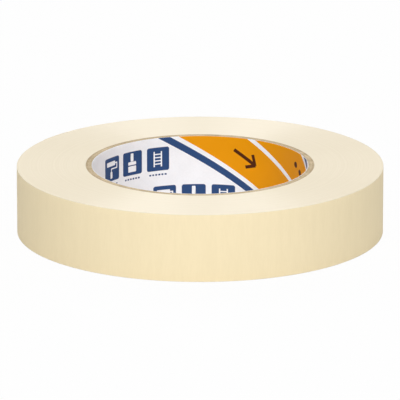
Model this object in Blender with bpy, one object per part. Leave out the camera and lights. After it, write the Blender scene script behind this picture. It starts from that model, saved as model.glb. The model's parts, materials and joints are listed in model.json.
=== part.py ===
"""Roll of masking tape lying flat on its side face, built around its paperboard core.

The roll stands on Z = 0 with its axis on +Z and the origin in the middle of its lower face.
From the bore outwards it is a printed paper liner, three spirally laid board plies, and the
tape wound on them. The last stretch of the tape is its free end, a row of short lengths that
hinge on one another so that the end can be peeled off the roll.
"""

import math

import bmesh
import bpy
from mathutils import Vector

# Driving dimensions, in metres
ROLL_WIDTH = 0.024  # tape and core are slit together, so one width serves both
ROLL_DIAMETER = 0.1296  # at the tape's cut edge, where the spiral is widest
TAPE_THICKNESS = 0.000147
CORE_BORE = 0.0762
LINER_THICKNESS = 0.00015
PLY_THICKNESS = 0.0006
GLUE_LINE = 0.0001  # between one glued paper and the next

# Spiral lay of the core's papers
LAY_ANGLE = math.radians(31.0)  # of a seam, from the rim
SEAM_WIDTH = 0.0004  # open butt joint between the edges of one paper
LINER_SEAM_AT = math.radians(270.0)  # at mid height, seen from above
PLY_SEAM_STEP = math.radians(97.0)  # each paper's seam lies this far round from the last

# Free end of the tape
CUT_EDGE_AT = math.radians(150.0)  # where the tape is cut off, seen from above
END_LENGTH = 0.0075  # of one hinged length
END_COUNT = 6
HINGE_SLIT = 0.0003  # between two lengths, and between the first and the wound tape
TACK_GAP = 0.0001  # between the free end and the wrap below it

# Facets
RING_FACETS = 120
END_FACETS = 3
BLADE_STEPS = 12
SHARP_ANGLE = math.radians(30.0)

# Colour and roughness of each piece
LINER_PAPER = ((0.92, 0.92, 0.95), 0.45)
BOARD_PLIES = {
    "core_ply_inner": ((0.50, 0.41, 0.28), 0.9),
    "core_ply_middle": ((0.55, 0.46, 0.32), 0.9),
    "core_ply_outer": ((0.47, 0.38, 0.25), 0.9),
}
WOUND_TAPE = ((0.90, 0.78, 0.54), 0.7)
FREE_TAPE = ((0.88, 0.76, 0.52), 0.7)


def clear_scene():
    for thing in list(bpy.data.objects):
        bpy.data.objects.remove(thing)


def make_material(name, colour, roughness):
    material = bpy.data.materials.new(name)
    material.use_nodes = True
    shader = material.node_tree.nodes["Principled BSDF"]
    shader.inputs["Base Color"].default_value = (*colour, 1.0)
    shader.inputs["Roughness"].default_value = roughness
    shader.inputs["Metallic"].default_value = 0.0
    return material


def polar(radius, angle):
    return Vector((radius * math.cos(angle), radius * math.sin(angle), 0.0))


def circle(radius):
    facet = 2 * math.pi / RING_FACETS
    return [polar(radius, i * facet) for i in range(RING_FACETS)]


def add_object(name, shape, surface=None):
    """Turns a bmesh into an object with smooth round faces. A cutter has no surface."""
    bmesh.ops.recalc_face_normals(shape, faces=shape.faces)
    mesh = bpy.data.meshes.new(name)
    shape.to_mesh(mesh)
    shape.free()
    mesh.shade_smooth()
    mesh.set_sharp_from_angle(angle=SHARP_ANGLE)
    if surface:
        mesh.materials.append(make_material(name, *surface))
    thing = bpy.data.objects.new(name, mesh)
    bpy.context.scene.collection.objects.link(thing)
    return thing


def add_upright(name, outlines, surface):
    """Stands a flat region on Z = 0, as tall as the roll. A second outline is a hole in it."""
    shape = bmesh.new()
    edges = []
    for outline in outlines:
        corners = [shape.verts.new(point) for point in outline]
        for i, corner in enumerate(corners):
            edges.append(shape.edges.new((corners[i - 1], corner)))
    bmesh.ops.triangle_fill(shape, use_beauty=True, edges=edges)
    raised = bmesh.ops.extrude_face_region(shape, geom=list(shape.faces), use_keep_orig=True)
    upper = [item for item in raised["geom"] if isinstance(item, bmesh.types.BMVert)]
    bmesh.ops.translate(shape, verts=upper, vec=(0.0, 0.0, ROLL_WIDTH))
    return add_object(name, shape, surface)


def add_seam_blade(name, inner, outer, seam_at):
    """A thin helical blade through one paper's wall, climbing from rim to rim."""
    middle = (inner + outer) / 2
    half = SEAM_WIDTH / math.sin(LAY_ANGLE) / middle / 2
    near = inner - SEAM_WIDTH
    far = outer + SEAM_WIDTH
    rise = ROLL_WIDTH + 2 * SEAM_WIDTH
    turn = rise / math.tan(LAY_ANGLE) / middle
    section = [polar(near, -half), polar(far, -half), polar(far, half), polar(near, half)]
    shape = bmesh.new()
    foot = shape.faces.new([shape.verts.new(point) for point in section])
    bmesh.ops.spin(
        shape,
        geom=[foot, *foot.edges, *foot.verts],
        axis=(0.0, 0.0, 1.0),
        dvec=(0.0, 0.0, rise / BLADE_STEPS),
        angle=turn,
        steps=BLADE_STEPS,
    )
    bmesh.ops.triangulate(shape, faces=shape.faces)
    blade = add_object(name, shape)
    blade.location = (0.0, 0.0, -SEAM_WIDTH)
    blade.rotation_euler = (0.0, 0.0, seam_at - turn / 2)
    blade.hide_render = True
    blade.display_type = "WIRE"
    return blade


def add_core_paper(name, inner, thickness, seam_at, surface):
    """One paper of the core: a ring that its spiral butt seam leaves open."""
    outer = inner + thickness
    paper = add_upright(name, [circle(outer), circle(inner)], surface)
    seam = paper.modifiers.new("butt_seam", "BOOLEAN")
    seam.operation = "DIFFERENCE"
    seam.solver = "EXACT"
    seam.object = add_seam_blade(name + "_blade", inner, outer, seam_at)
    return paper


def add_core():
    """The liner and the board plies, and the radius that the tape starts from."""
    inner = CORE_BORE / 2
    seam_at = LINER_SEAM_AT
    papers = [add_core_paper("core_liner", inner, LINER_THICKNESS, seam_at, LINER_PAPER)]
    inner += LINER_THICKNESS + GLUE_LINE
    for name, surface in BOARD_PLIES.items():
        seam_at += PLY_SEAM_STEP
        papers.append(add_core_paper(name, inner, PLY_THICKNESS, seam_at, surface))
        inner += PLY_THICKNESS + GLUE_LINE
    return papers, inner


def along_tape(length):
    """The turn that a length of the outermost wrap covers."""
    return length / (ROLL_DIAMETER / 2)


def outside_at(turn):
    """The tape's outer radius, this turn back from its cut edge."""
    return ROLL_DIAMETER / 2 - TAPE_THICKNESS * turn / (2 * math.pi)


def point_at(turn, depth=0.0):
    """A point this turn back from the cut edge, and this deep below the tape's outer face."""
    return polar(outside_at(turn) - depth, CUT_EDGE_AT - turn)


def add_wound_tape(inner):
    """Every wrap up to the free end, sunk below it, with the steps at its two ends."""
    whole = 2 * math.pi
    root = along_tape(END_COUNT * END_LENGTH + HINGE_SLIT)
    facets = [i * whole / RING_FACETS for i in range(RING_FACETS + 1)]
    covered = [turn for turn in facets if turn < root] + [root]
    bare = [root] + [turn for turn in facets if turn > root]
    outline = [point_at(turn, TAPE_THICKNESS + TACK_GAP) for turn in covered]
    outline += [point_at(turn) for turn in bare]
    return add_upright("wound_tape", [outline, circle(inner)], WOUND_TAPE)


def add_end_length(number):
    """One short length of the free end, with its origin on its hinge. Number 1 is the root."""
    start = along_tape(END_LENGTH) * (END_COUNT + 1 - number)
    slit = along_tape(HINGE_SLIT) if number < END_COUNT else 0.0
    stop = start - along_tape(END_LENGTH) + slit
    turns = [start + (stop - start) * i / END_FACETS for i in range(END_FACETS + 1)]
    hinge = point_at(start + along_tape(HINGE_SLIT) / 2, TAPE_THICKNESS)
    outline = [point_at(turn) for turn in turns]
    outline += [point_at(turn, TAPE_THICKNESS) for turn in reversed(turns)]
    outline = [point - hinge for point in outline]
    length = add_upright(f"free_end_{number}", [outline], FREE_TAPE)
    length.location = hinge
    return length


def attach(child, parent):
    """Parents a piece and leaves it where it stands."""
    bpy.context.view_layer.update()
    child.parent = parent
    child.matrix_parent_inverse = parent.matrix_world.inverted()


def build_roll():
    clear_scene()
    roll = bpy.data.objects.new("roll", None)
    bpy.context.scene.collection.objects.link(roll)
    papers, tape_start = add_core()
    for piece in [*papers, add_wound_tape(tape_start)]:
        attach(piece, roll)
    carrier = roll
    for number in range(1, END_COUNT + 1):
        length = add_end_length(number)
        attach(length, carrier)
        carrier = length


build_roll()
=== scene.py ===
import json
import math

import bpy
import numpy as np
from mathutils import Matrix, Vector


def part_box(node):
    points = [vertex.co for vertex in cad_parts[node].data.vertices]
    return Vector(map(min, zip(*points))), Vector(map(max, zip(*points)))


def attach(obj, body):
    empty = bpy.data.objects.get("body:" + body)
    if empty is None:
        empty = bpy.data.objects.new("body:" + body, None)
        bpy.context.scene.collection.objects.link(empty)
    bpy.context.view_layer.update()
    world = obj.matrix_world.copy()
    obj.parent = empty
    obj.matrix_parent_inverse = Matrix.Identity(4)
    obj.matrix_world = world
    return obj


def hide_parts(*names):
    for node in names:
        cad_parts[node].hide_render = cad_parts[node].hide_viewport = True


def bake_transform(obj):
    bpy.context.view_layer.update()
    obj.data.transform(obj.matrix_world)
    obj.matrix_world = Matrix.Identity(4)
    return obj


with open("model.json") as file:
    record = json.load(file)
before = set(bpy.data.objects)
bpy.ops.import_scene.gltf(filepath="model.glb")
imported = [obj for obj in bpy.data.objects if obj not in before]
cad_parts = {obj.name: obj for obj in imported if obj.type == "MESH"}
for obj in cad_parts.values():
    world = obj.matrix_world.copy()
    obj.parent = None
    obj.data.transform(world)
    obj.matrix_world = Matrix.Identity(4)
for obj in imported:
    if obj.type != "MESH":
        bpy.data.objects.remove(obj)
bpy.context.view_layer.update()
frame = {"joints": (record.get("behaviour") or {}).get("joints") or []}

fullTurn = 2 * math.pi
quarterTurn = math.pi / 2
mm = 0.001
scene = bpy.context.scene

# sizes that the pieces share; the frame gives the rest
tape = {
    "thickness": 0.147 * mm,
    "cutEdge": math.radians(150),    # where the strip is cut off, seen from above
    "tackGap": 0.02 * mm,            # between the free end and the wrap below it
}
hinges = [Vector(joint["pos_m"]) for joint in frame["joints"]]
hingeTurns = [tape["cutEdge"] - math.atan2(hinge.y, hinge.x) for hinge in hinges]
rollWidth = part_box("wound_tape")[1].z
# at the cut edge; the hinges lie on the strip's inner face, further back on the spiral
rollRadius = hinges[0].xy.length + tape["thickness"] * (1 + hingeTurns[0] / fullTurn)
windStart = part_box("core_ply_outer")[1].x    # radius where the winding starts


# mesh helpers

meshing = {
    "rimSteps": 3,                   # facets in the round of a sheet's cut rim
    "sharpAngle": math.radians(40),  # an edge that turns more than this stays crisp
}


def outsideAt(turn):
    # the spiral: the outside falls by one thickness of tape for each turn back from the cut edge
    return rollRadius - tape["thickness"] * turn / fullTurn


def stacked(*parts):
    # arrays repeated to one shape, and laid side by side on a last axis
    return np.stack(np.broadcast_arrays(*parts), -1)


def onCircle(radius, angle, height):
    # from radius, angle and height to x = radius x cos(angle), y = radius x sin(angle), z = height
    return stacked(radius * np.cos(angle), radius * np.sin(angle), height)


def sheetSection(thickness, burr, rows):
    # A sheet cut across, as a ring of points (depth through the sheet, height up the roll): up the
    # inner face, a quarter round of radius burr over each rim, and down the outer face.
    rise = np.linspace(0, quarterTurn, meshing["rimSteps"] + 1)[1:]
    wall = np.linspace(burr, rollWidth - burr, rows)
    over = burr * (1 - np.cos(rise))
    up = burr * (1 - np.sin(rise))
    depth = np.concatenate([over[::-1], np.zeros(rows), over])
    height = np.concatenate([up[::-1], wall, rollWidth - up])
    return np.concatenate([depth, thickness - depth[::-1]]), np.concatenate([height, height[::-1]])


def addSurface(name, grid, closed=False, maps=None):
    # grid[i, j] is point j of ring i, and neighbours make quads. An open run of rings gets end
    # caps, where point j joins the point that lies as far from the ring's other end. Faces point
    # outwards: the sum of their tetrahedra to the origin is the volume, which mustn't be negative.
    rings, points = grid.shape[:2]
    ring = np.arange(rings if closed else rings - 1)[:, None] * points
    here = np.arange(points)[None, :]
    ahead = (here + 1) % points
    following = (ring + points) % (rings * points)
    corners = stacked(ring + here, following + here, following + ahead, ring + ahead)
    faces = corners.reshape(-1, 4)
    if not closed:
        rung = np.arange(points // 2 - 1)
        cap = stacked(rung, rung + 1, points - 2 - rung, points - 1 - rung)
        faces = np.concatenate([faces, cap, cap[:, ::-1] + (rings - 1) * points])
    places = grid.reshape(-1, 3)
    a, b, c, d = places[faces.T]
    if np.einsum("ij,ij->", a, np.cross(b, c) + np.cross(c, d)) < 0:
        faces = faces[:, ::-1]
    mesh = bpy.data.meshes.new(name)
    mesh.from_pydata(places, [], faces)
    for mapName, values in (maps or {}).items():
        layer = mesh.uv_layers.new(name=mapName)
        layer.uv.foreach_set("vector", values.reshape(-1, 2)[faces].astype(np.float32).ravel())
    mesh.shade_smooth()
    mesh.set_sharp_from_angle(angle=meshing["sharpAngle"])
    piece = bpy.data.objects.new(name, mesh)
    scene.collection.objects.link(piece)
    return piece


# node helpers

def addNode(tree, kind, sockets=None, **settings):
    # one shader node; a socket's value is a plain value or another node's output
    node = tree.nodes.new("ShaderNode" + kind)
    for setting, value in settings.items():
        setattr(node, setting, value)
    for socket, value in (sockets or {}).items():
        if isinstance(value, bpy.types.NodeSocket):
            tree.links.new(value, node.inputs[socket])
        else:
            node.inputs[socket].default_value = value
    return node


def maths(tree, operation, *values):
    # a Math node's result
    return addNode(tree, "Math", dict(enumerate(values)), operation=operation).outputs[0]


def vectors(tree, operation, *values):
    # a Vector Math node's result
    node = addNode(tree, "VectorMath", dict(enumerate(values)), operation=operation)
    return node.outputs["Value" if operation == "LENGTH" else "Vector"]


def split(tree, vector):
    # a vector's x, y and z
    return addNode(tree, "SeparateXYZ", {0: vector}).outputs


def spread(tree, value, low, high, toLow=0.0, toHigh=1.0):
    # low..high eased into toLow..toHigh, and held outside
    ends = {"From Min": low, "From Max": high, "To Min": toLow, "To Max": toHigh}
    eased = addNode(tree, "MapRange", {"Value": value, **ends}, interpolation_type="SMOOTHSTEP")
    return eased.outputs["Result"]


def mixed(tree, share, *colours):
    # from the first colour to the second; a Mix node's colour sockets go by number
    first, second = [colour if isinstance(colour, bpy.types.NodeSocket) else (*colour, 1.0)
                     for colour in colours]
    return addNode(tree, "Mix", {0: share, 6: first, 7: second}, data_type="RGBA").outputs[2]


def noise(tree, place, fineness, detail):
    # noise about 0.5, in patches about one metre divided by the fineness across
    sockets = {"Vector": place, "Scale": fineness, "Detail": detail}
    return addNode(tree, "TexNoise", sockets).outputs["Fac"]


def fromAxis(tree, spot):
    # how far a spot lies from the roll's axis: the length of its x and y
    return vectors(tree, "LENGTH", vectors(tree, "MULTIPLY", spot, (1.0, 1.0, 0.0)))


def bumped(tree, height, distance, under=None):
    # the normal that a height gives, on top of the bump under it
    sockets = {"Height": height, "Distance": distance}
    if under:
        sockets["Normal"] = under
    return addNode(tree, "Bump", sockets).outputs["Normal"]


def newGroup(name, inputs, outputs):
    # an empty node group with named sockets
    tree = bpy.data.node_groups.new(name, "ShaderNodeTree")
    for way, sockets in (("INPUT", inputs), ("OUTPUT", outputs)):
        for socket, kind in sockets.items():
            tree.interface.new_socket(name=socket, in_out=way, socket_type="NodeSocket" + kind)
    return tree, tree.nodes.new("NodeGroupInput").outputs, tree.nodes.new("NodeGroupOutput").inputs


def useGroup(tree, group, **sockets):
    # a group placed in a tree with its own values
    return addNode(tree, "Group", sockets, node_tree=group).outputs


def newMaterial(name, **settings):
    # a Principled material; what is the same all over is set on its own sockets
    material = bpy.data.materials.new(name)
    material.use_nodes = True
    shader = material.node_tree.nodes["Principled BSDF"]
    for socket, value in settings.items():
        shader.inputs[socket.replace("_", " ")].default_value = value
    return material, material.node_tree


def shade(tree, **sockets):
    # links outputs to a material's shader
    for socket, value in sockets.items():
        tree.links.new(value, tree.nodes["Principled BSDF"].inputs[socket.replace("_", " ")])


# effects that several materials share

effects = {
    "fineDetail": 3.0,               # finer layers in the fine and in the wide noise
    "wideDetail": 2.0,
    "pulpClouds": 0.13,              # their fineness, as a share of the fibres'
    "wideRidges": 0.22,              # their fineness, as a share of the fine ridges'
    "ridgeDraw": 0.16,               # scale along the ridges: less draws them out longer
    "inkBleed": 0.04,                # either side of an ink's edge, in millimetres
}


def layeredNoise(tree, place, fineness, wider):
    # fine noise, and its mean with noise whose fineness is a share of its own
    fine = noise(tree, place, fineness, effects["fineDetail"])
    wide = noise(tree, place, maths(tree, "MULTIPLY", fineness, wider), effects["wideDetail"])
    half = maths(tree, "MULTIPLY", fine, 0.5)
    return fine, maths(tree, "MULTIPLY_ADD", wide, 0.5, half)


def makeFibreGroup():
    # paper pulp: fine fibre noise, and the soft clouds that thicker and thinner pulp make
    inputs = {"Place": "Vector", "Fineness": "Float"}
    tree, given, out = newGroup("paperFibres", inputs, {"Tone": "Float", "Height": "Float"})
    fine, both = layeredNoise(tree, given["Place"], given["Fineness"], effects["pulpClouds"])
    tree.links.new(both, out["Tone"])
    tree.links.new(fine, out["Height"])
    return tree


def makeCrepeGroup():
    # creping: noise drawn out across the strip (along Z), so that it runs in short upright
    # ridges, some fine and some as wide as a few of them
    inputs = {"Place": "Vector", "Fineness": "Float"}
    tree, given, out = newGroup("crepeRidges", inputs, {"Ridges": "Float"})
    drawn = vectors(tree, "MULTIPLY", given["Place"], (1.0, 1.0, effects["ridgeDraw"]))
    _, both = layeredNoise(tree, drawn, given["Fineness"], effects["wideRidges"])
    tree.links.new(both, out["Ridges"])
    return tree


def makeInkGroup():
    # A box of ink with round corners: the distance from a smaller box, less the corner's radius.
    # With no half size at all it is a disc. Sizes are in millimetres.
    inputs = {name: "Vector" for name in ("Place", "Centre", "Half")}
    inputs.update(Corner="Float", Turn="Float")
    tree, given, out = newGroup("inkShape", inputs, {"Mask": "Float"})
    moved = vectors(tree, "SUBTRACT", given["Place"], given["Centre"])
    turned = addNode(tree, "VectorRotate", {"Vector": moved, "Angle": given["Turn"]},
                     rotation_type="Z_AXIS", invert=True).outputs[0]
    apart = vectors(tree, "SUBTRACT", vectors(tree, "ABSOLUTE", turned), given["Half"])
    away = vectors(tree, "LENGTH", vectors(tree, "MAXIMUM", apart, (0.0, 0.0, 0.0)))
    edge = maths(tree, "SUBTRACT", away, given["Corner"])
    bleed = effects["inkBleed"]
    tree.links.new(spread(tree, edge, -bleed, bleed, 1.0, 0.0), out["Mask"])
    return tree


def makeDashGroup():
    # Rows of dashes: inside a box, ink lies where the remainder of the place divided by the pitch
    # is below the filled share, both along and up.
    inputs = {name: "Vector" for name in ("Place", "Foot", "Size", "Pitch", "Fill")}
    tree, given, out = newGroup("inkDashes", inputs, {"Mask": "Float"})
    moved = vectors(tree, "SUBTRACT", given["Place"], given["Foot"])
    step = split(tree, vectors(tree, "FRACTION", vectors(tree, "DIVIDE", moved, given["Pitch"])))
    share = split(tree, vectors(tree, "DIVIDE", moved, given["Size"]))
    fill = split(tree, given["Fill"])
    mask = 1.0
    for axis in (0, 1):
        mask = maths(tree, "MULTIPLY", mask, maths(tree, "LESS_THAN", step[axis], fill[axis]))
        inside = maths(tree, "COMPARE", share[axis], 0.5, 0.5)    # within a half of the middle
        mask = maths(tree, "MULTIPLY", mask, inside)
    tree.links.new(mask, out["Mask"])
    return tree


fibres = makeFibreGroup()
crepe = makeCrepeGroup()
inkShape = makeInkGroup()
inkDashes = makeDashGroup()
print("shared effects made")


# camera and studio

camera = {
    "aim": (0, 0, 10.9 * mm),
    "distance": 2.08,
    "above": math.radians(15.9),
    "lens": 529.4,
}
studio = {
    "floorHalf": 3.0,                # half the floor's side
    "floorLevel": -0.05 * mm,
    "floorColour": (0.75, 0.75, 0.75),
    "floorShadow": 0.04,             # how much of the floor's own shade the eye sees
    "worldLight": 0.22,
    "panels": {                      # width, height, watts, degrees round and up, distance
        "frontPanel": (4.0, 3.0, 99.5, 0, 40, 3.0),
        "backPanel": (3.0, 2.0, 27.5, 180, 45, 3.0),
        "backLeftPanel": (2.4, 1.8, 19.5, -140, 20, 3.0),
        "backRightPanel": (2.4, 1.8, 25.0, 140, 20, 3.0),
    },
}


def direction(sideways, above):
    # a unit vector from the object: the angle round from the front, and the angle up
    return Vector((
        math.sin(sideways) * math.cos(above),
        -math.cos(sideways) * math.cos(above),
        math.sin(above),
    ))


def makeCamera():
    # far off with a long lens, from the front and a little above
    data = bpy.data.cameras.new("camera")
    data.lens = camera["lens"]
    eye = bpy.data.objects.new("camera", data)
    eye.location = Vector(camera["aim"]) + camera["distance"] * direction(0, camera["above"])
    eye.rotation_euler = (quarterTurn - camera["above"], 0, 0)
    scene.collection.objects.link(eye)
    scene.camera = eye


def seenShare(tree, share):
    # the share that the eye and mirrors see, and nothing for light that bounces
    path = addNode(tree, "LightPath").outputs
    seen = maths(tree, "MAXIMUM", path["Is Camera Ray"], path["Is Glossy Ray"])
    seen = maths(tree, "MAXIMUM", seen, path["Is Transmission Ray"])
    return maths(tree, "MULTIPLY", seen, share)


def makeFloor():
    # a matt sheet, which the eye sees as white with a little of its shade
    half = studio["floorHalf"]
    corners = [(-half, -half), (half, -half), (half, half), (-half, half)]
    mesh = bpy.data.meshes.new("floor")
    mesh.from_pydata([(*corner, studio["floorLevel"]) for corner in corners], [], [(0, 1, 2, 3)])
    floor = bpy.data.objects.new("floor", mesh)
    scene.collection.objects.link(floor)
    material = bpy.data.materials.new("floorPaper")
    material.use_nodes = True
    tree = material.node_tree
    tree.nodes.remove(tree.nodes["Principled BSDF"])
    matt = addNode(tree, "BsdfDiffuse", {"Color": (*studio["floorColour"], 1.0)})
    white = addNode(tree, "Emission", {"Strength": 1.0})
    share = seenShare(tree, 1 - studio["floorShadow"])
    both = addNode(tree, "MixShader", {0: share, 1: matt.outputs[0], 2: white.outputs[0]})
    tree.links.new(both.outputs[0], tree.nodes["Material Output"].inputs["Surface"])
    mesh.materials.append(material)


def makeLights():
    # a world that is white to the eye and soft light to the object, and four panels turned to it
    world = bpy.data.worlds.new("studio")
    world.use_nodes = True
    scene.world = world
    tree = world.node_tree
    strength = spread(tree, seenShare(tree, 1.0), 0.0, 1.0, studio["worldLight"], 1.0)
    tree.nodes["Background"].inputs["Color"].default_value = (1, 1, 1, 1)
    tree.links.new(strength, tree.nodes["Background"].inputs["Strength"])
    for name, (width, height, watts, sideways, above, distance) in studio["panels"].items():
        data = bpy.data.lights.new(name, "AREA")
        data.shape = "RECTANGLE"
        data.size, data.size_y, data.energy = width, height, watts
        lamp = bpy.data.objects.new(name, data)
        toward = direction(math.radians(sideways), math.radians(above))
        lamp.location = distance * toward
        lamp.rotation_euler = toward.to_track_quat("Z", "Y").to_euler()
        scene.collection.objects.link(lamp)


makeCamera()
makeFloor()
makeLights()
scene.view_settings.view_transform = "Standard"
print("camera and studio made")


# core: a printed liner and three board plies

core = {
    "lay": math.radians(31),         # of the spiral seams, from the rim
    "seam": 0.4 * mm,
    "linerSeam": math.radians(270),
    "seamStep": math.radians(97),    # each ply's seam lies this far round from the last
    "glueLine": 0.03 * mm,
    "burr": 0.08 * mm,               # rounding of a cut rim
    "thinBurr": 0.45,                # the share of a thin paper that its rounding may take
    "liner": 0.15 * mm,
    "columns": 360,
    "rows": 14,
    "boards": {                      # darker and lighter pulp of each ply
        "core_ply_inner": ((0.46, 0.36, 0.23), (0.62, 0.50, 0.335)),
        "core_ply_middle": ((0.50, 0.40, 0.255), (0.66, 0.535, 0.36)),
        "core_ply_outer": ((0.44, 0.34, 0.215), (0.60, 0.48, 0.315)),
    },
    "pulpFineness": 2400.0,
    "pulpTones": (0.38, 0.62),       # noise that gives the darker and the lighter colour
    "pulpDepth": 0.05 * mm,
    "roughness": 0.9,
    "gloss": 0.1,
}
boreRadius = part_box("core_liner")[1].x - core["liner"]


def addPaper(name, inner, thickness, seamAt):
    # One turn of paper about the axis: the section at the seam carried round. The angle grows with
    # height by height / (tan(lay) x radius), so that the seam climbs as a helix.
    burr = min(core["burr"], core["thinBurr"] * thickness)
    depth, height = sheetSection(thickness, burr, core["rows"])
    middle = inner + thickness / 2
    slit = core["seam"] / math.sin(core["lay"]) / middle
    around = np.linspace(slit / 2, fullTurn - slit / 2, core["columns"])[:, None]
    angle = seamAt + around + (height - rollWidth / 2) / math.tan(core["lay"]) / middle
    unrolled = stacked((quarterTurn - angle) / fullTurn, height / rollWidth)
    return addSurface(name, onCircle(inner + depth, angle, height), maps={"printMap": unrolled})


def makeBoardMaterial(name, dark, light):
    # grey-brown chipboard, cut across at the rims
    material, tree = newMaterial(name, Roughness=core["roughness"],
                                 Specular_IOR_Level=core["gloss"])
    spot = addNode(tree, "TexCoord").outputs["Object"]
    pulp = useGroup(tree, fibres, Place=spot, Fineness=core["pulpFineness"])
    tone = spread(tree, pulp["Tone"], *core["pulpTones"])
    shade(tree, Base_Color=mixed(tree, tone, dark, light),
          Normal=bumped(tree, pulp["Height"], core["pulpDepth"]))
    return material


def makePlies():
    # the plies share the wall between the liner and the tape, with a line of glue inside each
    inner = boreRadius + core["liner"] + core["glueLine"]
    thickness = (windStart - inner) / len(core["boards"]) - core["glueLine"]
    seamAt = core["linerSeam"]
    for node, (dark, light) in core["boards"].items():
        seamAt += core["seamStep"]
        which = node.split("_")[-1]
        name = "board" + which.capitalize()
        ply = addPaper(name, inner, thickness, seamAt)
        ply.data.materials.append(makeBoardMaterial(name, dark, light))
        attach(ply, "roll")
        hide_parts(node)
        inner += thickness + core["glueLine"]


makePlies()
print("board plies made")

# The liner's print. Places and sizes on the paper are in plain millimetres: along to the right as
# seen from inside, and up from the lower rim. Each row of the pattern is one step of the spiral
# further on.
linerPrint = {
    "inks": {
        "orange": (0.81, 0.32, 0.002),
        "navy": (0.029, 0.073, 0.200),
        "brown": (0.075, 0.019, 0.004),
        "paper": (0.92, 0.948, 0.99),
    },
    "darkPaper": 0.96,               # share of the paper's colour that its darker pulp keeps
    "paperFineness": 1500.0,
    "paperTones": (0.35, 0.65),      # noise that gives the darker and the lighter colour
    "paperDepth": 0.012 * mm,
    "inkDepth": (0.015 * mm, 0.03 * mm),    # below the printed side, where the print fades out
    "roughness": 0.42,
    "gloss": 0.12,
    "rowFoot": 9.5,
    "rowHeight": 14.5,
    "repeats": 2,                    # of the whole pattern, round the bore
    # bands that run along the spiral: from and to, measured square to the seam
    "bands": [
        ("navy", -8.0, -5.6),
        ("orange", -4.0, 9.0),
        ("orange", 10.6, 24.0),
        ("navy", 25.6, 28.0),
    ],
    # tools in white on navy tiles: the tile's middle, and each shape's centre from there, half
    # size and corner
    "tileHalf": (3.55, 3.55),
    "tileCorner": 0.8,
    "tools": {
        "roller": ((-37.2, 16.2), [
            ((-0.4, 2.0), (2.2, 0.5), 0.35),
            ((3.1, 1.1), (0.1, 1.0), 0.12),
            ((2.5, 2.0), (0.6, 0.1), 0.12),
            ((1.5, 0.1), (1.6, 0.1), 0.12),
            ((-0.1, -0.5), (0.1, 0.6), 0.12),
            ((-0.1, -2.2), (0.25, 0.9), 0.35),
        ]),
        "brush": ((-26.4, 16.2), [
            ((0.0, 2.2), (0.35, 1.2), 0.3),
            ((0.0, 0.0), (1.5, 0.3), 0.3),
            ((0.0, -2.1), (1.5, 0.8), 0.3),
        ]),
        "ladder": ((-15.6, 16.2), [
            ((-1.4, 0.0), (0.1, 2.7), 0.15),
            ((1.4, 0.0), (0.1, 2.7), 0.15),
            *[((0.0, rung), (1.3, 0.05), 0.15) for rung in (1.8, 0.6, -0.6, -1.8)],
        ]),
    },
    # dashes under each tool: foot from the tile's middle, size, pitch and filled share
    "dashes": ((-3.4, -6.1), (7.2, 0.6), (1.2, 9.0), (0.65, 1.0)),
    # which way the strip unwinds: centre, half size, corner and turn in degrees of each stroke
    "arrow": [
        ((16.5, 17.0), (4.6, 0.55), 0.1, -31),
        ((20.3, 16.3), (2.0, 0.5), 0.1, -76),
        ((18.9, 13.9), (2.0, 0.5), 0.1, 14),
    ],
    "dots": [(42.2, 19.1), (45.6, 17.0), (49.0, 14.9)],
    "dotRadius": 1.1,
}


def printedShapes():
    # ink, centre, half size, corner and turn of every shape; later ones print over earlier ones
    shapes = []
    for (along, up), parts in linerPrint["tools"].values():
        shapes.append(("navy", (along, up), linerPrint["tileHalf"], linerPrint["tileCorner"], 0))
        shapes += [("paper", (along + right, up + rise), half, corner, 0)
                   for (right, rise), half, corner in parts]
    shapes += [("brown", *stroke) for stroke in linerPrint["arrow"]]
    radius = linerPrint["dotRadius"]
    shapes += [("brown", dot, (0.0, 0.0), radius, 0) for dot in linerPrint["dots"]]
    return shapes


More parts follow.
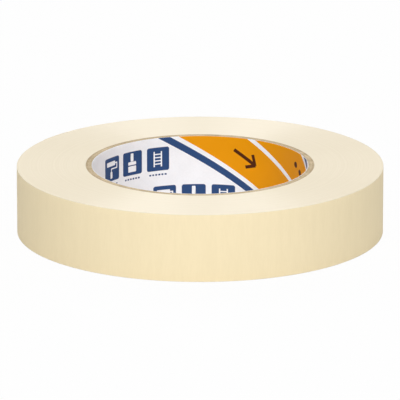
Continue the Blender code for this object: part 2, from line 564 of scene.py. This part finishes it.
def makePrintMaterial():
    material, tree = newMaterial("printedLiner", Roughness=linerPrint["roughness"],
                                 Specular_IOR_Level=linerPrint["gloss"])
    inks, lay = linerPrint["inks"], core["lay"]
    foot, row = linerPrint["rowFoot"], linerPrint["rowHeight"]
    width = rollWidth / mm
    around = fullTurn * boreRadius / mm
    period = around / linerPrint["repeats"]

    # place on the unrolled paper, and the same place moved back into the pattern's own row
    unrolled = addNode(tree, "UVMap", uv_map="printMap").outputs[0]
    along, up, _ = split(tree, vectors(tree, "MULTIPLY", unrolled, (around, width, 0.0)))
    rowNumber = maths(tree, "FLOOR", maths(tree, "DIVIDE", maths(tree, "SUBTRACT", up, foot), row))
    rowUp = maths(tree, "MULTIPLY_ADD", rowNumber, -row, up)
    rowAlong = maths(tree, "MULTIPLY_ADD", rowNumber, row / math.tan(lay), along)
    rowAlong = maths(tree, "WRAP", rowAlong, 0.5 * period, -0.5 * period)
    place = addNode(tree, "CombineXYZ", {0: rowAlong, 1: rowUp}).outputs[0]

    # distance square to the seam, which gives the bands
    climb = maths(tree, "MULTIPLY", maths(tree, "SUBTRACT", up, width), math.cos(lay))
    square = maths(tree, "MULTIPLY_ADD", along, math.sin(lay), climb)
    halfBand = 0.5 * period * math.sin(lay)
    square = maths(tree, "WRAP", square, halfBand, -halfBand)

    # paper, then each ink over what is there already
    spot = addNode(tree, "TexCoord").outputs["Object"]
    pulp = useGroup(tree, fibres, Place=spot, Fineness=linerPrint["paperFineness"])
    dark = [linerPrint["darkPaper"] * part for part in inks["paper"]]
    tone = spread(tree, pulp["Tone"], *linerPrint["paperTones"])
    colour = mixed(tree, tone, dark, inks["paper"])
    for ink, low, high in linerPrint["bands"]:
        inBand = maths(tree, "COMPARE", square, (low + high) / 2, (high - low) / 2)
        colour = mixed(tree, inBand, colour, inks[ink])
    (footAlong, footUp), size, pitch, fill = linerPrint["dashes"]
    for (middle, level), _ in linerPrint["tools"].values():
        mask = useGroup(tree, inkDashes, Place=place, Foot=(middle + footAlong, level + footUp, 0),
                        Size=(*size, 1), Pitch=(*pitch, 1), Fill=(*fill, 0))["Mask"]
        colour = mixed(tree, mask, colour, inks["navy"])
    for ink, centre, half, corner, turn in printedShapes():
        mask = useGroup(tree, inkShape, Place=place, Centre=(*centre, 0), Half=(*half, 0),
                        Corner=corner, Turn=math.radians(turn))["Mask"]
        colour = mixed(tree, mask, colour, inks[ink])

    # only the side that faces the bore is printed
    shallow, deep = [boreRadius + depth for depth in linerPrint["inkDepth"]]
    printed = spread(tree, fromAxis(tree, spot), shallow, deep, 1.0, 0.0)
    colour = mixed(tree, printed, inks["paper"], colour)
    shade(tree, Base_Color=colour, Normal=bumped(tree, pulp["Height"], linerPrint["paperDepth"]))
    return material


liner = addPaper("printedLiner", boreRadius, core["liner"], core["linerSeam"])
liner.data.materials.append(makePrintMaterial())
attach(liner, "roll")
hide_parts("core_liner")
print("printed liner made")


# the wound tape

winding = {
    "columns": 440,
    "coveredColumns": 60,            # under the free end
    "stepTurn": 0.0003,              # radians over which the outside steps by a wrap
    "wallPoints": 4,                 # from the middle of the width to the lip
    "lip": 0.13 * mm,                # rounding where the wraps' edges meet the outside
    "lipPoints": 6,
    "facePoints": 54,                # from the lip to the core
    "insideUp": 0.55,                # height of the upper points at the core, in widths
    "ripple": 0.019 * mm,            # how deep some wraps stand below the rest
    "rippleFade": 12,                # 12 brings it in over a twelfth of the face at either side
    "seed": 5,
    "waves": 9,
    "longestWave": 9 * mm,
    "waveStep": 1.35,                # each wave is this many times shorter than the last
    "waveFall": 0.6,                 # power of a wave's length that its depth follows
    "waveSway": (0.1, 0.5),
    "waveLobes": (1, 4),             # times round the roll that it sways; the last is left out
    # creped paper, darker and lighter
    "backing": ((0.874, 0.745, 0.489), (0.894, 0.764, 0.507)),
    "backingRough": 0.55,
    "crepeFineness": 1700.0,
    "crepeTones": (0.36, 0.64),
    "crepeDepth": 0.016 * mm,
    # wraps cut across, darker and lighter
    "edges": ((0.803, 0.714, 0.543), (0.835, 0.747, 0.579)),
    "edgeRough": 0.45,
    "edgeTones": (0.3, 0.7),
    "edgeDepth": 0.02 * mm,
    "edgeFrom": 1.3,                 # where their look comes in, in lips from the rim
    "edgeFull": 0.9,                 # and where it is all there
    "ringFineness": 1400.0,
    "ringDetail": 5.0,
    "ringSway": 0.6 * mm,
    "swayFineness": 14.0,
    "swayDetail": 1.0,
    "ringShare": 0.7,                # of rings in the wraps' tone; the rest is fuzz
    "fuzzFineness": 2600.0,
    "gloss": 0.5,
    "glossDraw": 1.0,                # how far ridges and wraps draw the gloss out along the strip
}


def faceDepth(radius, turn):
    # How far a face lies below the rims: the sum of a few waves along the radius, each swaying a
    # whole number of times round the roll, scaled to run from nothing to the ripple's full depth.
    pick = np.random.default_rng(winding["seed"])
    depth = np.zeros(np.broadcast_shapes(radius.shape, turn.shape))
    for wave in range(winding["waves"]):
        length = winding["longestWave"] / winding["waveStep"] ** wave
        sway = pick.uniform(*winding["waveSway"])
        lobes = pick.integers(*winding["waveLobes"])
        sway = sway * np.sin(lobes * turn + pick.uniform(0, fullTurn))
        swell = np.sin(fullTurn * radius / length + pick.uniform(0, fullTurn) + sway)
        depth = depth + length ** winding["waveFall"] * swell
    return winding["ripple"] * (depth - depth.min()) / (depth.max() - depth.min())


def makeWinding():
    # The roll's section carried once round the axis. From the middle of the width: up the outside,
    # a quarter round over the lip, in across the rippled face, down the core; then the same
    # mirrored. The outside follows the spiral, and is sunk by a thickness and a gap under the free
    # end.
    rootTurn, lip, step = hingeTurns[0], winding["lip"], winding["stepTurn"]
    covered = np.linspace(0, rootTurn, winding["coveredColumns"])
    bare = np.linspace(rootTurn + step, fullTurn - step, winding["columns"])
    turn = np.concatenate([covered, bare])[:, None]
    outside = outsideAt(turn) - np.where(turn <= rootTurn, tape["thickness"] + tape["tackGap"], 0)

    middle = 0.5 * rollWidth
    wallUp = np.linspace(middle, rollWidth - lip, winding["wallPoints"], endpoint=False)
    rise = np.linspace(0, quarterTurn, winding["lipPoints"])
    lipUp = rollWidth - lip * (1 - np.sin(rise))
    share = np.linspace(1, 0, winding["facePoints"])[1:]
    face = windStart + (outside - lip - windStart) * share
    fade = np.minimum(1, np.minimum(share, 1 - share) * winding["rippleFade"])
    faceUp = rollWidth - fade * faceDepth(face, turn)

    level = 0 * outside    # repeats a row of heights for every column
    radius = np.concatenate([
        outside + 0 * wallUp, outside - lip * (1 - np.cos(rise)), face, windStart + level,
    ], 1)
    height = np.concatenate([
        wallUp + level, lipUp + level, faceUp, winding["insideUp"] * rollWidth + level,
    ], 1)
    radius = np.concatenate([radius, radius[:, ::-1][:, :-1]], 1)
    height = np.concatenate([height, rollWidth - height[:, ::-1][:, :-1]], 1)
    return addSurface("woundTape", onCircle(radius, tape["cutEdge"] - turn, height), closed=True)


def edgeShare(tree, height, lip):
    # nothing on the strip's broad side, and all of it from the lip outwards
    middle = 0.5 * rollWidth
    offMiddle = maths(tree, "ABSOLUTE", maths(tree, "SUBTRACT", height, middle))
    start, full = [middle - lips * lip for lips in (winding["edgeFrom"], winding["edgeFull"])]
    return spread(tree, offMiddle, start, full)


def makeWoundMaterial():
    material, tree = newMaterial("woundTape", Specular_IOR_Level=winding["gloss"],
                                 Anisotropic=winding["glossDraw"])
    spot = addNode(tree, "TexCoord").outputs["Object"]
    onFace = edgeShare(tree, split(tree, spot)[2], winding["lip"])

    # creped backing
    ridges = useGroup(tree, crepe, Place=spot, Fineness=winding["crepeFineness"])["Ridges"]
    backing = mixed(tree, spread(tree, ridges, *winding["crepeTones"]), *winding["backing"])

    # wraps seen edge on: noise along the radius alone, which draws rings that sway a little
    sway = noise(tree, spot, winding["swayFineness"], winding["swayDetail"])
    swayed = maths(tree, "MULTIPLY_ADD", sway, winding["ringSway"], fromAxis(tree, spot))
    ringPlace = maths(tree, "MULTIPLY", swayed, winding["ringFineness"])
    ringNoise = {"W": ringPlace, "Scale": 1.0, "Detail": winding["ringDetail"]}
    rings = addNode(tree, "TexNoise", ringNoise, noise_dimensions="1D").outputs["Fac"]
    fuzz = useGroup(tree, fibres, Place=spot, Fineness=winding["fuzzFineness"])["Tone"]
    fuzz = maths(tree, "MULTIPLY", fuzz, 1 - winding["ringShare"])
    tone = maths(tree, "MULTIPLY_ADD", rings, winding["ringShare"], fuzz)
    edges = mixed(tree, spread(tree, tone, *winding["edgeTones"]), *winding["edges"])

    ridgeHeight = maths(tree, "MULTIPLY", ridges, maths(tree, "SUBTRACT", 1.0, onFace))
    normal = bumped(tree, ridgeHeight, winding["crepeDepth"])
    normal = bumped(tree, maths(tree, "MULTIPLY", tone, onFace), winding["edgeDepth"], normal)
    roughness = (winding["backingRough"], winding["edgeRough"])
    shade(tree, Base_Color=mixed(tree, onFace, backing, edges), Normal=normal,
          Tangent=addNode(tree, "Tangent", direction_type="RADIAL", axis="Z").outputs[0],
          Roughness=spread(tree, onFace, 0.0, 1.0, *roughness))
    return material


wound = makeWinding()
wound.data.materials.append(makeWoundMaterial())
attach(wound, "roll")
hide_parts("wound_tape")
print("wound tape made")


# the free end, in stretches that each reach over one hinge

freeEnd = {
    "burr": 0.04 * mm,
    "rows": 25,
    "columns": 13,
    "ragged": 0.30 * mm,             # how far back the torn edge reaches
    "raggedWaves": (17 * mm, 7 * mm, 3.1 * mm, 1.3 * mm),
    "waveDepth": (0.3, 1),
    "seed": 11,
    "stuckShift": 1.0,               # added to stripMap's first value on the side that sticks
    "adhesive": ((0.82, 0.685, 0.43), (0.87, 0.745, 0.49)),
    "adhesiveRough": 0.30,
    "adhesiveCrepe": 0.4,            # how much of the creping shows through it
}


def tornEdge(height):
    # How far back the edge lies at each height, as a turn: the sum of a few waves, scaled to run
    # from nothing to the ragged depth.
    pick = np.random.default_rng(freeEnd["seed"])
    tear = sum(pick.uniform(*freeEnd["waveDepth"])
               * np.sin(fullTurn * height / length + pick.uniform(0, fullTurn))
               for length in freeEnd["raggedWaves"])
    return freeEnd["ragged"] * (tear - tear.min()) / (tear.max() - tear.min()) / rollRadius


def makeStretch(number, startTurn, endTurn, last):
    # the strip's section carried along the spiral from one turn to the other; on the last stretch
    # the turns are eased back towards a ragged edge
    depth, height = sheetSection(tape["thickness"], freeEnd["burr"], freeEnd["rows"])
    share = np.linspace(0, 1, freeEnd["columns"])[:, None]
    if last:
        endTurn = endTurn + tornEdge(height)
    turn = startTurn + (endTurn - startTurn) * share
    radius = outsideAt(turn) - tape["thickness"] + depth
    stuckSide = (depth < 0.5 * tape["thickness"]) * freeEnd["stuckShift"]
    unrolled = stacked(turn * rollRadius + stuckSide, height)
    return addSurface(f"freeEnd{number}", onCircle(radius, tape["cutEdge"] - turn, height),
                      maps={"stripMap": unrolled})


def makeFreeMaterial():
    # creped on the outside, smooth adhesive on the side that sticks; stripMap tells them apart, and
    # its first value runs the way that the gloss is drawn out
    material, tree = newMaterial("freeTape", Specular_IOR_Level=winding["gloss"],
                                 Anisotropic=winding["glossDraw"])
    along, up, _ = split(tree, addNode(tree, "UVMap", uv_map="stripMap").outputs[0])
    place = addNode(tree, "CombineXYZ", {0: along, 2: up}).outputs[0]
    sticky = maths(tree, "GREATER_THAN", along, 0.5 * freeEnd["stuckShift"])
    ridges = useGroup(tree, crepe, Place=place, Fineness=winding["crepeFineness"])["Ridges"]
    tone = spread(tree, ridges, *winding["crepeTones"])
    backing = mixed(tree, tone, *winding["backing"])
    colour = mixed(tree, sticky, backing, mixed(tree, tone, *freeEnd["adhesive"]))
    colour = mixed(tree, edgeShare(tree, up, freeEnd["burr"]), colour, winding["edges"][1])
    creped = spread(tree, sticky, 0.0, 1.0, 1.0, freeEnd["adhesiveCrepe"])
    roughness = (winding["backingRough"], freeEnd["adhesiveRough"])
    shade(tree, Base_Color=colour,
          Normal=bumped(tree, maths(tree, "MULTIPLY", ridges, creped), winding["crepeDepth"]),
          Tangent=addNode(tree, "Tangent", direction_type="UV_MAP", uv_map="stripMap").outputs[0],
          Roughness=spread(tree, sticky, 0.0, 1.0, *roughness))
    return material


def makeFreeEnd():
    # A stretch runs over its own hinge, and meets its neighbours halfway to their hinges; the first
    # starts at its hinge, and the last ends at the cut edge.
    material = makeFreeMaterial()
    borders = [(a + b) / 2 for a, b in zip(hingeTurns, hingeTurns[1:])]
    turns = [hingeTurns[0], *borders, 0.0]
    for index, hinge in enumerate(hinges):
        number = index + 1
        stretch = makeStretch(number, turns[index], turns[number], number == len(hinges))
        stretch.data.materials.append(material)
        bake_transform(stretch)
        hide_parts(f"free_end_{number}")


makeFreeEnd()
print("free end made")
